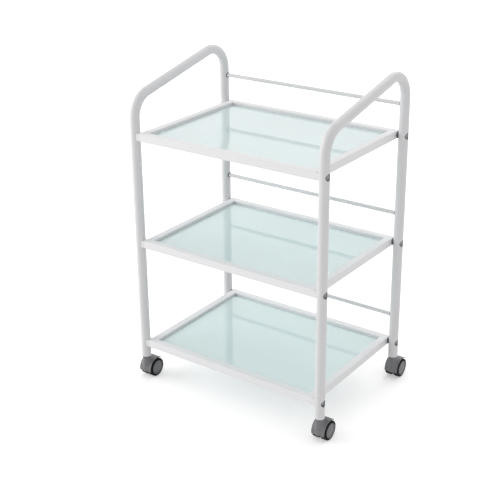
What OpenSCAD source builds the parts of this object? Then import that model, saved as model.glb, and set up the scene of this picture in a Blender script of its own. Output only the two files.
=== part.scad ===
// Rolling salon trolley: two bent-tube side frames, three framed glass shelves,
// three back rails and four hooded twin-wheel casters.
// Millimetres. X runs along the shelves, the user stands at -Y, Z is up.
// The origin is on the floor, midway between the four legs.

/* [Side frames] */
// Outside diameter of the bent tube
tube_d = 25; // [22:0.5:28]
// Wall of the bent tube
tube_wall = 1.5; // [1:0.1:2]
// Distance between the left and right legs, axis to axis
leg_span_x = 543; // [400:1:700]
// Distance between the front and rear legs, axis to axis
leg_span_y = 368; // [280:1:480]
// Centreline radius of the two bends in each tube
bend_r = 60; // [45:1:80]
// How much the bending draws in the tube's radius
bend_draw = 0.25; // [0.2:0.01:0.4]
// Rise of the handle from front to rear, in degrees
handle_tilt = 12.3; // [0:0.1:18]
// Height of the middle of the handle above the top shelf's bolts
handle_up = 132; // [110:1:200]

/* [Shelves] */
// Distance from one shelf to the next
shelf_pitch = 284; // [200:1:360]
// Height of the lowest shelf's bolts above the lower ends of the legs
first_bolt_up = 42; // [40:1:120]
// Side of the square tube in a shelf frame
rail_size = 20; // [18:0.5:30]
// Wall of the square tube
rail_wall = 1.5; // [1:0.1:2]
// How far a shelf frame reaches past the leg axes, front and rear
shelf_past_leg = 8.5; // [7.5:0.5:14]
// Thickness of the glass
glass_t = 5; // [4:0.5:6]
// Depth of the glass below the top of its frame
glass_sunk = 8; // [5:0.5:9]
// Gap round the edge of the glass
glass_gap = 1; // [0.5:0.1:2]
// Corner cut off the glass
glass_clip = 9; // [4:0.5:12]
// Side of the triangular plate in each corner of a frame
plate_side = 42; // [38:1:60]
// Thickness of a corner plate
plate_t = 1.5; // [1:0.1:2]
// Diameter of a glass pad
pad_d = 10; // [6:0.5:12]
// Thickness of a glass pad
pad_t = 1; // [0.5:0.1:1.5]

/* [Back rails] */
// Diameter of a back rail
back_rail_d = 10; // [6:0.5:12]
// Height of a back rail above its shelf's bolts
back_rail_up = 78.5; // [40:0.5:110]
// Length of a back rail inside each leg
back_rail_in = 6; // [3:0.5:8]
// Diameter of the ring where a back rail enters a leg
grommet_d = 14; // [11:0.5:16]
// Thickness of that ring outside the tube
grommet_t = 0.8; // [0.4:0.1:1.5]

/* [Fasteners] */
// Diameter of the shelf bolts
bolt_d = 6; // [5:0.5:8]
// Length of a shelf bolt under its head
bolt_l = 20; // [18:0.5:24]
// Diameter of a bolt head
bolt_head_d = 11; // [9:0.5:12]
// Height of a bolt head
bolt_head_h = 4; // [3:0.5:5]
// Width across the flats of a bolt's socket
bolt_key_w = 4; // [3:0.5:5]
// Side of the square saddle block between a front leg and a shelf
block_side = 18; // [14:0.5:20]
// Diameter of the round saddle spacer between a rear leg and a shelf
spacer_d = 18; // [14:0.5:20]
// Least thickness of a saddle block or spacer
spacer_t = 2.5; // [2:0.5:6]
// Diameter of the flat cap over a bolt
cap_d = 18; // [12:0.5:19]
// How far a cap's face stands proud of the tube at the sides of its hole
cap_proud = 0.6; // [0.2:0.1:1.5]
// Length of a cap
cap_l = 3; // [2:0.5:5]
// Diameter of the rivet nut's barrel
nut_d = 9; // [8:0.5:11]
// Length of the rivet nut's barrel
nut_l = 13; // [10:0.5:15]
// Diameter of the rivet nut's flange
nut_flange_d = 13; // [11:0.5:14]
// Thickness of the rivet nut's flange
nut_flange_t = 0.8; // [0.5:0.1:1.5]

/* [Casters] */
// Diameter of a caster wheel
wheel_d = 50; // [40:1:75]
// Width of one wheel
wheel_w = 16; // [10:0.5:20]
// Depth of the soft tread
tread_t = 4; // [2:0.5:5]
// How far each caster is swung about its leg: front left, front right, rear left, rear right
caster_turn = [0, 0, 0, 0]; // [-180:1:180]
// Distance from the swivel axis back to the axle
trail = 20; // [15:0.5:30]
// Gap between a wheel and the hood round it
well_gap = 1.7; // [1:0.1:3]
// Wall of the hood round the wheels
hood_wall = 2.3; // [1.5:0.1:4]
// Thickness of the web between the two wheels
web_t = 8; // [6:0.5:12]
// Gap between a wheel and the web
side_gap = 0.6; // [0.4:0.1:1]
// How far the hood's rim stands outside a wheel
rim_out = 0; // [0:0.1:2]
// Height of the hood's front edge above the floor
hood_front_z = 20; // [10:1:24]
// Height of the hood's rear edge above the axle
hood_rear_up = 5; // [0:0.5:10]
// Diameter of the neck under the leg
neck_d = 21; // [18:0.5:24]
// Height of the neck above the top of the hood
neck_up = 10; // [6:0.5:20]
// Diameter of the steel stem
stem_d = 11; // [8:0.5:12]
// Length of the stem inside the leg
stem_in = 24; // [18:0.5:28]
// Diameter of the collar on the stem
collar_d = 16; // [13:0.5:18]
// Thickness of the collar
collar_t = 1.5; // [1:0.1:3]
// Length of the socket in the leg
socket_l = 30; // [26:0.5:34]
// Diameter of the axle
axle_d = 6; // [5:0.5:8]

/* [Clearances] */
// Radial gap of a part that turns on a pin
run_gap = 0.05; // [0.02:0.01:0.1]
// Gap between pieces that are fixed together
seat_gap = 0.02; // [0.01:0.01:0.05]
// Gap under a part that turns above another
lift_gap = 0.4; // [0.3:0.1:0.8]

/* [Hidden] */
$fn = 64;
tube_r = tube_d / 2;
bore_r = tube_r - tube_wall;
leg_x = leg_span_x / 2;
leg_y = leg_span_y / 2;
over = 1;

// Caster heights, from the floor up
wheel_r = wheel_d / 2;
axle_z = wheel_r;
well_r = wheel_r + well_gap;
hood_r = well_r + hood_wall;
neck_z = axle_z + hood_r + neck_up;
leg_z = neck_z + collar_t + lift_gap;
hood_w = web_t + 2 * (side_gap + wheel_w + rim_out);
wheel_in = web_t / 2 + side_gap;
wheel_out = wheel_in + wheel_w;
hub_r = wheel_r - tread_t;
hub_boss_r = axle_d / 2 + 4;
hub_face_t = 2.5;
hub_rim_t = 2.5;
axle_half = wheel_out - hub_face_t - lift_gap;
axle_boss_r = axle_d / 2 + 5;
stem_low = axle_z + sqrt(max(0, pow(well_r, 2) - pow(trail - stem_d / 2, 2))) + 1;

// Heights of the shelves' bolts and of the back rails
shelf_z = [for (i = [0 : 2]) leg_z + first_bolt_up + i * shelf_pitch];
handle_z = shelf_z[2] + handle_up;

// Centres of the two bends, in the plane of a side frame
front_corner_z = handle_z - leg_y * tan(handle_tilt);
rear_corner_z = handle_z + leg_y * tan(handle_tilt);
front_bend = [bend_r - leg_y, front_corner_z - bend_r * tan(45 - handle_tilt / 2)];
rear_bend = [leg_y - bend_r, rear_corner_z - bend_r * tan(45 + handle_tilt / 2)];
handle_l = norm(rear_bend - front_bend);
// How far a straight runs into a bend, where the tube is drawn thinner
bend_lap = 2;

// Shelf outline and the glass in it
shelf_x = leg_x - tube_r - spacer_t;
shelf_y = leg_y + shelf_past_leg;
open_x = shelf_x - rail_size;
open_y = shelf_y - rail_size;
glass_x = open_x - glass_gap;
glass_y = open_y - glass_gap;
frame_top = rail_size / 2;
glass_top = frame_top - glass_sunk;
pad_top = glass_top - glass_t;
plate_top = pad_top - pad_t;
pad_in = glass_clip / 2 + pad_d / 2 + 4;

// Distance of a cap's face from the leg's axis
cap_face = sqrt(pow(tube_r, 2) - pow(cap_d / 2, 2)) + cap_proud;

// Where a bolt's flat head meets the round inside of the leg
head_seat = sqrt(pow(bore_r, 2) - pow(bolt_head_d / 2, 2)) - seat_gap;

SIDES = [[-1, "left"], [1, "right"]];
LEVELS = ["bottom", "middle", "top"];
CORNERS = [[-1, -1, "front_left"], [1, -1, "front_right"], [-1, 1, "rear_left"], [1, 1, "rear_right"]];
SHELF = ["shelf_frame", "corner_plates", "glass", "back_rail"];
CASTER = ["socket", "stem", "hood", "axle", "outer_wheel", "inner_wheel", "outer_tread", "inner_tread"];

// Turns a shape drawn in the plane of a side frame, Y across and Z up, to its place
module in_side_plane() {
    rotate([90, 0, 90]) children();
}

// Points a shape's +Z along +X, or along -X for a negative side
module along_x(side) {
    rotate([0, 90 * side, 0]) children();
}

module box(low, high) {
    translate(low) cube(high - low);
}

// One bend of a tube of radius r about a centre, from one angle through a sweep
module bend(centre, from, sweep, r) {
    translate([centre[0], centre[1], 0])
        rotate([0, 0, from])
            rotate_extrude(angle = sweep) translate([bend_r, 0]) circle(r = r - bend_draw);
}

// The whole bent path of a side frame at radius r, its legs ending at height low
module bent_path(r, low) {
    in_side_plane() {
        translate([-leg_y, low, 0]) rotate([-90, 0, 0]) cylinder(r = r, h = front_bend[1] + bend_lap - low);
        bend(front_bend, 90 + handle_tilt, 90 - handle_tilt, r);
        translate([front_bend[0], front_bend[1], 0])
            rotate([0, 0, handle_tilt])
                translate([-bend_lap, bend_r, 0])
                    rotate([0, 90, 0]) cylinder(r = r, h = handle_l + 2 * bend_lap);
        bend(rear_bend, 0, 90 + handle_tilt, r);
        translate([leg_y, low, 0]) rotate([-90, 0, 0]) cylinder(r = r, h = rear_bend[1] + bend_lap - low);
    }
}

// A side frame: one bent tube with its bolt, cap and back rail holes
module side_frame(side) {
    color("whitesmoke") translate([side * leg_x, 0, 0]) difference() {
        bent_path(tube_r, leg_z);
        bent_path(bore_r, leg_z - over);
        for (z = shelf_z, y = [-leg_y, leg_y]) translate([0, y, z]) {
            along_x(-side) cylinder(d = bolt_d + 2 * run_gap, h = tube_d);
            along_x(side) cylinder(d = cap_d + 2 * seat_gap, h = tube_d);
        }
        for (z = shelf_z) translate([0, leg_y, z + back_rail_up])
            along_x(-side) cylinder(d = back_rail_d + 2 * run_gap, h = tube_d);
    }
}

// Places a shape at a shelf's front (-1) or rear (1) bolts, or both; its +X points out of the leg
module at_bolts(z, ends = [-1, 1]) {
    for (side = [-1, 1], end = ends)
        translate([side * leg_x, end * leg_y, z]) rotate([0, 0, side > 0 ? 0 : 180]) children();
}

// Places a shape at each inner corner of a shelf frame; its +X and +Y point into the opening
module at_inner_corners(z) {
    for (side = [-1, 1], end = [-1, 1])
        translate([side * open_x, end * open_y, z])
            rotate([0, 0, side < 0 ? (end < 0 ? 0 : 270) : (end < 0 ? 90 : 180)]) children();
}

module frame_ring(x, y, inset, half_h) {
    difference() {
        box([-x + inset, -y + inset, -half_h], [x - inset, y - inset, half_h]);
        box([-open_x - inset, -open_y - inset, -half_h - over],
            [open_x + inset, open_y + inset, half_h + over]);
    }
}

// A shelf frame: square tube, mitred and welded into a hollow ring, with its rivet nut holes
module shelf_frame(i) {
    color("whitesmoke") difference() {
        translate([0, 0, shelf_z[i]]) difference() {
            frame_ring(shelf_x, shelf_y, 0, rail_size / 2);
            frame_ring(shelf_x, shelf_y, rail_wall, rail_size / 2 - rail_wall);
        }
        at_bolts(shelf_z[i]) translate([-tube_r - spacer_t + over, 0, 0])
            along_x(-1) cylinder(d = nut_d + 2 * seat_gap, h = over + 2 * rail_wall);
    }
}

// The triangular plates welded into the corners of a shelf frame, which carry the glass
module corner_plates(i) {
    color("gainsboro") at_inner_corners(shelf_z[i] + plate_top - plate_t)
        linear_extrude(plate_t) polygon([[0, 0], [plate_side, 0], [0, plate_side]]);
}

module glass(i) {
    color("paleturquoise", 0.6) translate([0, 0, shelf_z[i] + pad_top]) linear_extrude(glass_t) polygon([
        [-glass_x + glass_clip, -glass_y], [glass_x - glass_clip, -glass_y],
        [glass_x, -glass_y + glass_clip], [glass_x, glass_y - glass_clip],
        [glass_x - glass_clip, glass_y], [-glass_x + glass_clip, glass_y],
        [-glass_x, glass_y - glass_clip], [-glass_x, -glass_y + glass_clip]
    ]);
}

module glass_pads() {
    color("dimgray") for (z = shelf_z) at_inner_corners(z + plate_top)
        translate([pad_in, pad_in, 0]) cylinder(d = pad_d, h = pad_t);
}

module back_rail(i) {
    color("whitesmoke") translate([-leg_x + bore_r - back_rail_in, leg_y, shelf_z[i] + back_rail_up])
        along_x(1) cylinder(d = back_rail_d, h = 2 * (leg_x - bore_r + back_rail_in));
}

// Socket-head bolts, driven from inside the legs through the cap holes
module shelf_bolts() {
    color("silver") for (z = shelf_z) at_bolts(z) translate([-head_seat, 0, 0]) difference() {
        union() {
            along_x(1) cylinder(d = bolt_head_d, h = bolt_head_h);
            along_x(-1) cylinder(d = bolt_d, h = bolt_l);
        }
        translate([bolt_head_h, 0, 0]) along_x(-1)
            translate([0, 0, -over]) cylinder(d = bolt_key_w / cos(30), h = over + bolt_head_h / 2, $fn = 6);
    }
}

// Threaded inserts in the outer walls of the shelf frames
module rivet_nuts() {
    color("silver") for (z = shelf_z) at_bolts(z) translate([-tube_r - spacer_t, 0, 0]) difference() {
        union() {
            along_x(1) cylinder(d = nut_flange_d, h = nut_flange_t);
            along_x(-1) cylinder(d = nut_d, h = nut_l);
        }
        translate([nut_flange_t + over, 0, 0])
            along_x(-1) cylinder(d = bolt_d + 2 * run_gap, h = nut_flange_t + nut_l + 2 * over);
    }
}

// What a saddle gives up to the round of the leg, to its bolt and to the nut's flange
module saddle_cut() {
    translate([0, 0, -tube_d]) cylinder(r = tube_r + seat_gap, h = 2 * tube_d);
    along_x(-1) cylinder(d = bolt_d + 2 * run_gap, h = tube_d);
    translate([-tube_r - spacer_t - over, 0, 0])
        along_x(1) cylinder(d = nut_flange_d + 2 * seat_gap, h = over + nut_flange_t + seat_gap);
}

// White plastic blocks between the front legs and the shelves
module front_saddle_blocks() {
    half = block_side / 2;
    color("whitesmoke") for (z = shelf_z) at_bolts(z, [-1]) difference() {
        box([-tube_r - spacer_t, -half, -half], [0, half, half]);
        saddle_cut();
    }
}

// Dark plastic spacers between the rear legs and the shelves
module rear_saddle_spacers() {
    color("dimgray") for (z = shelf_z) at_bolts(z, [1]) difference() {
        translate([-tube_r - spacer_t, 0, 0]) along_x(1) cylinder(d = spacer_d, h = tube_r + spacer_t);
        saddle_cut();
    }
}

// Flat plastic caps in the holes that the bolts are driven through
module bolt_caps() {
    color("gray") for (z = shelf_z) at_bolts(z)
        translate([cap_face - cap_l, 0, 0]) along_x(1) cylinder(d = cap_d, h = cap_l);
}

// Dark rings round the back rails where they enter the rear legs
module rail_grommets() {
    color("dimgray") for (z = shelf_z) at_bolts(z + back_rail_up, [1]) difference() {
        intersection() {
            along_x(-1) cylinder(d = grommet_d, h = tube_d);
            translate([0, 0, -grommet_d]) cylinder(r = tube_r + grommet_t, h = 2 * grommet_d);
        }
        translate([0, 0, -grommet_d]) cylinder(r = tube_r + seat_gap, h = 2 * grommet_d);
        along_x(-1) cylinder(d = back_rail_d + 2 * seat_gap, h = tube_d);
    }
}

module at_corner(c) {
    translate([CORNERS[c][0] * leg_x, CORNERS[c][1] * leg_y, 0]) children();
}

// Places a shape on a caster, which trails towards +Y before it is swung
module at_caster(c) {
    at_corner(c) rotate([0, 0, caster_turn[c]]) children();
}

// Plastic socket pressed into the end of a leg
module socket(c) {
    color("gainsboro") at_corner(c) translate([0, 0, leg_z]) difference() {
        cylinder(r = bore_r - seat_gap, h = socket_l);
        translate([0, 0, -over]) cylinder(d = stem_d + 2 * run_gap, h = over + stem_in + lift_gap);
    }
}

// Steel stem with its collar, fixed in the neck of the hood
module stem(c) {
    color("silver") at_corner(c) {
        translate([0, 0, stem_low]) cylinder(d = stem_d, h = leg_z + stem_in - stem_low);
        translate([0, 0, neck_z]) cylinder(d = collar_d, h = collar_t);
    }
}

// Moulded hood: cover over both wheels, web between them and neck under the leg
module hood(c) {
    color("dimgray") at_caster(c) difference() {
        union() {
            difference() {
                union() {
                    translate([-hood_w / 2, trail, axle_z]) along_x(1) cylinder(r = hood_r, h = hood_w);
                    translate([0, 0, hood_front_z]) cylinder(d = neck_d, h = neck_z - hood_front_z);
                }
                for (side = [-1, 1]) translate([side * web_t / 2, trail, axle_z])
                    along_x(side) cylinder(r = well_r, h = hood_w);
                box([-hood_w, -hood_w, -hood_r], [hood_w, trail + 2 * hood_r, hood_front_z]);
                box([-hood_w, trail, -hood_r], [hood_w, trail + 2 * hood_r, axle_z + hood_rear_up]);
            }
            translate([-web_t / 2, trail, axle_z]) along_x(1) cylinder(r = axle_boss_r, h = web_t);
        }
        translate([-hood_w, trail, axle_z]) along_x(1) cylinder(d = axle_d + 2 * seat_gap, h = 2 * hood_w);
        translate([0, 0, stem_low]) cylinder(d = stem_d + 2 * seat_gap, h = neck_z);
    }
}

module axle(c) {
    color("silver") at_caster(c) translate([-axle_half, trail, axle_z])
        along_x(1) cylinder(d = axle_d, h = 2 * axle_half);
}

// Places a wheel's profile, drawn as radius and distance from the web's middle, on a caster
module wheel_at(c, outer) {
    side = outer ? CORNERS[c][0] : -CORNERS[c][0];
    at_caster(c) translate([0, trail, axle_z]) along_x(side) rotate_extrude() children();
}

// Wheel: closed outer face, rim and a boss with a blind bore for the axle
module wheel(c, outer) {
    bore = axle_d / 2 + run_gap;
    color("gray") wheel_at(c, outer) polygon([
        [0, wheel_out], [hub_r, wheel_out], [hub_r, wheel_in],
        [hub_r - hub_rim_t, wheel_in], [hub_r - hub_rim_t, wheel_out - hub_face_t],
        [hub_boss_r, wheel_out - hub_face_t], [hub_boss_r, wheel_in],
        [bore, wheel_in], [bore, wheel_out - hub_face_t], [0, wheel_out - hub_face_t]
    ]);
}

// Soft tread on the rim of a wheel
module tread(c, outer) {
    color("black") wheel_at(c, outer) translate([hub_r + seat_gap, wheel_in])
        square([tread_t - seat_gap, wheel_w]);
}

for (side = SIDES) side_frame(side[0]);
for (i = [0 : 2]) {
    shelf_frame(i);
    corner_plates(i);
    glass(i);
    back_rail(i);
}
glass_pads();
shelf_bolts();
rivet_nuts();
front_saddle_blocks();
rear_saddle_spacers();
bolt_caps();
rail_grommets();
for (c = [0 : 3]) {
    socket(c);
    stem(c);
    hood(c);
    axle(c);
    wheel(c, true);
    wheel(c, false);
    tread(c, true);
    tread(c, false);
}
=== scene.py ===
"""Rolling salon trolley: the looks of its tubes, shelves, glass, fittings and casters."""

import math
from functools import cache

import bmesh
import bpy
import numpy as np
from bpy.props import FloatProperty, FloatVectorProperty, IntProperty, PointerProperty
from bpy.types import Operator, Panel, PropertyGroup
from mathutils import Matrix, Vector


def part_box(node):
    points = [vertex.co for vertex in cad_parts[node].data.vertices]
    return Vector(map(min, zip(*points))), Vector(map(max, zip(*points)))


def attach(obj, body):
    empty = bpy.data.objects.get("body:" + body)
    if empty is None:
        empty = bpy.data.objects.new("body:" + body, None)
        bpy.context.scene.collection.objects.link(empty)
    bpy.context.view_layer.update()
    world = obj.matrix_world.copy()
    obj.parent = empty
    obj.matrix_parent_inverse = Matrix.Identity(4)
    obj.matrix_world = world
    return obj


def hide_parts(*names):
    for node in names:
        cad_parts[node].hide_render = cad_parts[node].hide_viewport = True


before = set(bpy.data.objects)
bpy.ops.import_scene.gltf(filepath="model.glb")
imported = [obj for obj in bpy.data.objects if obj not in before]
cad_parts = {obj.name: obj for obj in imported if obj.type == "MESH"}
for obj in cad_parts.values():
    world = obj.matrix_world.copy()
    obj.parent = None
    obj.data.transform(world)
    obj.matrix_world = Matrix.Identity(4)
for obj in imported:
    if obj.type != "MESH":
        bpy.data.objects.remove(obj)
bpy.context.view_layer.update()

bl_info = {
    "name": "Salon Trolley",
    "version": (1, 0, 0),
    "blender": (4, 5, 0),
    "location": "View3D > Sidebar > Trolley",
    "description": "Builds the looks of a rolling salon trolley over its fixed frame",
    "category": "Object",
}

# Places and sizes that the frame gives, in metres
ROOT = "trolley_frame"
SIDES = ("left", "right")
LEVELS = ("bottom", "middle", "top")
CORNERS = ("front_left", "front_right", "rear_left", "rear_right")
WHEELS = ("outer", "inner")

SIDE_LOW, SIDE_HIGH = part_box("right_side_frame")
TUBE_R = (SIDE_HIGH.x - SIDE_LOW.x) / 2
LEG_X = (SIDE_HIGH.x + SIDE_LOW.x) / 2
LEG_Y = SIDE_HIGH.y - TUBE_R
LEG_FOOT = SIDE_LOW.z
HANDLE_TOP = SIDE_HIGH.z
SHELF_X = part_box("top_shelf_frame")[1].x
CAP_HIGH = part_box("bolt_caps")[1]
CAP_R = CAP_HIGH.y - LEG_Y
CAP_FACE = CAP_HIGH.x - LEG_X
GROMMET_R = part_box("rail_grommets")[1].y - LEG_Y
SPACER_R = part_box("rear_saddle_spacers")[1].y - LEG_Y
BLOCK_HALF = -LEG_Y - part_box("front_saddle_blocks")[0].y


def middle(node):
    """The middle of a node's box."""
    low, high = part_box(node)
    return (low + high) / 2


# One caster gives the sizes of all four: heights above the floor, and the rest from its stem's axis
PATTERN = "rear_right"
STEM = middle(f"{PATTERN}_stem")
TRAIL = middle(f"{PATTERN}_axle").y - STEM.y
AXLE_Z = middle(f"{PATTERN}_axle").z
NECK_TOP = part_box(f"{PATTERN}_hood")[1].z
HOOD_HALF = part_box(f"{PATTERN}_hood")[1].x - STEM.x
WHEEL_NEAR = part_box(f"{PATTERN}_outer_wheel")[0].x - STEM.x
WHEEL_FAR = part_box(f"{PATTERN}_outer_wheel")[1].x - STEM.x
WHEEL_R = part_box(f"{PATTERN}_outer_wheel")[1].z - AXLE_Z
TREAD_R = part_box(f"{PATTERN}_outer_tread")[1].z - AXLE_Z


class TrolleySizes(PropertyGroup):
    """Sizes that shape the trolley's looks."""

    bend_radius: FloatProperty(
        name="Bend Radius", description="Centreline radius of the tube's bends",
        default=0.060, unit="LENGTH")
    handle_tilt: FloatProperty(
        name="Handle Tilt", description="Rise of the handles from front to rear",
        default=math.radians(12.3), subtype="ANGLE")
    tube_wall: FloatProperty(
        name="Tube Wall", description="Wall of the bent tube at its open feet",
        default=0.0015, unit="LENGTH")
    foot_depth: FloatProperty(
        name="Foot Depth", description="Depth of the open bore in a foot of the tube",
        default=0.034, unit="LENGTH")
    tube_sides: IntProperty(
        name="Tube Sides", description="Facets round a tube", default=96, min=12)
    cap_length: FloatProperty(
        name="Cap Length", description="Depth of a bolt cap in its hole", default=0.003, unit="LENGTH")
    cap_gap: FloatProperty(
        name="Cap Gap", description="Gap round a bolt cap", default=0.0005, unit="LENGTH")
    rail_edge: FloatProperty(
        name="Rail Edge", description="Rounding of the square tube's long edges",
        default=0.0022, unit="LENGTH")
    mitre_edge: FloatProperty(
        name="Mitre Edge", description="Rounding of a shelf's ground corners",
        default=0.0012, unit="LENGTH")
    glass_clip: FloatProperty(
        name="Glass Clip", description="Corner cut off a pane", default=0.009, unit="LENGTH")
    glass_edge: FloatProperty(
        name="Glass Edge", description="Polished round on the edges of a pane",
        default=0.0008, unit="LENGTH")
    hood_radius: FloatProperty(
        name="Hood Radius", description="Outer radius of a hood about its axle",
        default=0.029, unit="LENGTH")
    hood_wall: FloatProperty(
        name="Hood Wall", description="Wall of a hood over the wheels", default=0.0023, unit="LENGTH")
    hood_front: FloatProperty(
        name="Hood Front", description="Height of a hood's front edge above the floor",
        default=0.020, unit="LENGTH")
    hood_rear: FloatProperty(
        name="Hood Rear", description="Height of a hood's rear edge above the floor",
        default=0.048, unit="LENGTH")
    web_rear: FloatProperty(
        name="Web Rear", description="Height of a web's rear edge above the floor",
        default=0.030, unit="LENGTH")
    hood_edge: FloatProperty(
        name="Hood Edge", description="Rounding of a hood's moulded edges", default=0.0009, unit="LENGTH")
    hood_inset: FloatProperty(
        name="Hood Inset", description="Depth of a hood's rims behind the faces of the wheels",
        default=0.0024, unit="LENGTH")
    tread_lap: FloatProperty(
        name="Tread Lap", description="How far a tread laps over the face of its wheel",
        default=0.0022, unit="LENGTH")
    web: FloatProperty(
        name="Web", description="Thickness of the web between two wheels", default=0.008, unit="LENGTH")
    boss_radius: FloatProperty(
        name="Boss Radius", description="Radius of the web's boss round the axle",
        default=0.008, unit="LENGTH")
    neck_radius: FloatProperty(
        name="Neck Radius", description="Radius of a hood's neck under its leg",
        default=0.0105, unit="LENGTH")
    neck_blend: FloatProperty(
        name="Neck Blend", description="Fillet where a neck runs into its hood",
        default=0.005, unit="LENGTH")
    mould_step: FloatProperty(
        name="Mould Step", description="Spacing of the points on a moulded hood",
        default=0.0007, unit="LENGTH")


def colour(label, note, *value):
    """A colour property with its default."""
    return FloatVectorProperty(name=label, description=note, default=value, size=3, subtype="COLOR",
                               min=0, max=1)


class TrolleyColours(PropertyGroup):
    """Colours of the trolley's finishes."""

    paint: colour("Paint", "White powder coat of the shelves", 0.80, 0.80, 0.81)
    # Painted shade: the tube colour is the shelves' white coat made greyer for the shade that the round
    # tubes and rods show.
    tube: colour("Tube", "Slightly greyer powder coat of the bent tubes and back rods", 0.70, 0.70, 0.71)
    glass: colour("Glass", "Pale aqua frosted glass", 0.76, 0.90, 0.90)
    plastic: colour("Caster Plastic", "Moulded grey of hoods and wheels", 0.165, 0.165, 0.175)
    tread: colour("Tread", "Soft black tread", 0.008, 0.008, 0.009)
    cap: colour("Cap", "Middle of the grey bolt caps", 0.21, 0.21, 0.22)
    # Painted shade: Cap Rim is the dark of the gap round each cap, painted on the cap's rim.
    cap_rim_shade: colour("Cap Rim", "Dark rim of the bolt caps", 0.05, 0.05, 0.053)
    block: colour("Block", "White saddle blocks at the front legs", 0.80, 0.80, 0.80)
    # Painted shade: the rear spacers and the rail grommets are coloured dark for the shade in the nook
    # between shelf rail and rear leg and in the gap where each back rail enters its leg.
    dark_shade: colour("Spacer", "Dark saddle spacers at the rear legs", 0.10, 0.10, 0.105)
    zinc: colour("Zinc", "Zinc plate on bolts, stems and axles", 0.60, 0.61, 0.62)
    socket: colour("Socket", "Pale plastic in the feet", 0.52, 0.52, 0.52)
    pad: colour("Pad", "Soft pads under the glass", 0.42, 0.44, 0.44)
    floor: colour("Floor", "Pale studio floor", 0.88, 0.862, 0.864)


def sizes():
    return bpy.context.scene.trolley_sizes


def colours():
    return bpy.context.scene.trolley_colours


# Materials; each finish and node group is made at its first use and then kept

def new_node(tree, kind, settings=None, **inputs):
    """Adds a node, sets its own settings, then its inputs by name."""
    node = tree.nodes.new(kind)
    for name, value in (settings or {}).items():
        setattr(node, name, value)
    for name, value in inputs.items():
        node.inputs[name.replace("_", " ")].default_value = value
    return node


@cache
def grain_group():
    """Shared effect: a slow mottling and a fine surface grain, both from 0 to 1."""
    tree = bpy.data.node_groups.new("Fine Grain", "ShaderNodeTree")
    for label in ("Mottle Scale", "Grain Scale"):
        tree.interface.new_socket(label, in_out="INPUT", socket_type="NodeSocketFloat")
    for label in ("Tone", "Height"):
        tree.interface.new_socket(label, in_out="OUTPUT", socket_type="NodeSocketFloat")
    start = tree.nodes.new("NodeGroupInput")
    end = tree.nodes.new("NodeGroupOutput")
    place = tree.nodes.new("ShaderNodeTexCoord")
    slow = new_node(tree, "ShaderNodeTexNoise", Detail=3, Roughness=0.55)
    fine = new_node(tree, "ShaderNodeTexNoise", Detail=4, Roughness=0.6)
    for noise, scale, out in ((slow, "Mottle Scale", "Tone"), (fine, "Grain Scale", "Height")):
        tree.links.new(place.outputs["Object"], noise.inputs["Vector"])
        tree.links.new(start.outputs[scale], noise.inputs["Scale"])
        tree.links.new(noise.outputs["Fac"], end.inputs[out])
    return tree


def finish(name, base, roughness, mottle=0.01, grain=0.0005, depth=0.00005, spread=0.04,
           gloss_spread=0.08, **fixed):
    """A material whose colour, gloss and surface vary with the shared grain.

    mottle and grain are sizes in metres, depth is the height of the grain, and spread and gloss_spread say
    how far the colour and the roughness move. Everything in fixed is set on the shader's own sockets."""
    material = bpy.data.materials.new(name)
    material.use_nodes = True
    tree = material.node_tree
    shader = tree.nodes["Principled BSDF"]
    effect = new_node(tree, "ShaderNodeGroup", {"node_tree": grain_group()},
                      Mottle_Scale=1 / mottle, Grain_Scale=1 / grain)
    tint = new_node(tree, "ShaderNodeMix", {"data_type": "RGBA"})
    tint.inputs["A"].default_value = (*[c * (1 - spread) for c in base], 1)
    tint.inputs["B"].default_value = (*[min(1, c * (1 + spread)) for c in base], 1)
    gloss = new_node(tree, "ShaderNodeMapRange",
                     To_Min=roughness - gloss_spread, To_Max=roughness + gloss_spread)
    bump = new_node(tree, "ShaderNodeBump", Strength=0.5, Distance=depth)
    tree.links.new(effect.outputs["Tone"], tint.inputs["Factor"])
    tree.links.new(effect.outputs["Tone"], gloss.inputs["Value"])
    tree.links.new(effect.outputs["Height"], bump.inputs["Height"])
    tree.links.new(tint.outputs["Result"], shader.inputs["Base Color"])
    tree.links.new(gloss.outputs["Result"], shader.inputs["Roughness"])
    tree.links.new(bump.outputs["Normal"], shader.inputs["Normal"])
    for socket, value in fixed.items():
        shader.inputs[socket.replace("_", " ")].default_value = value
    return material


def powder_coat(name, base):
    """A smooth, slightly glossy powder coat."""
    return finish(name, base, roughness=0.32, mottle=0.09, grain=0.004, depth=0.00001, spread=0.012,
                  gloss_spread=0.06, Specular_IOR_Level=0.22, Coat_Weight=0.05, Coat_Roughness=0.15)


@cache
def white_paint():
    return powder_coat("white powder coat", colours().paint)


# Painted shade: a greyer copy of the white powder coat for the round tubes and rods.
@cache
def shaded_tube_paint():
    return powder_coat("pale grey powder coat", colours().tube)


@cache
def caster_plastic():
    return finish("caster grey plastic", colours().plastic, roughness=0.42, mottle=0.03, grain=0.0006,
                  depth=0.00006)


@cache
def tread_rubber():
    return finish("tread rubber", colours().tread, roughness=0.62, mottle=0.012, grain=0.0005,
                  depth=0.00008, spread=0.15, Specular_IOR_Level=0.08)


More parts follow.
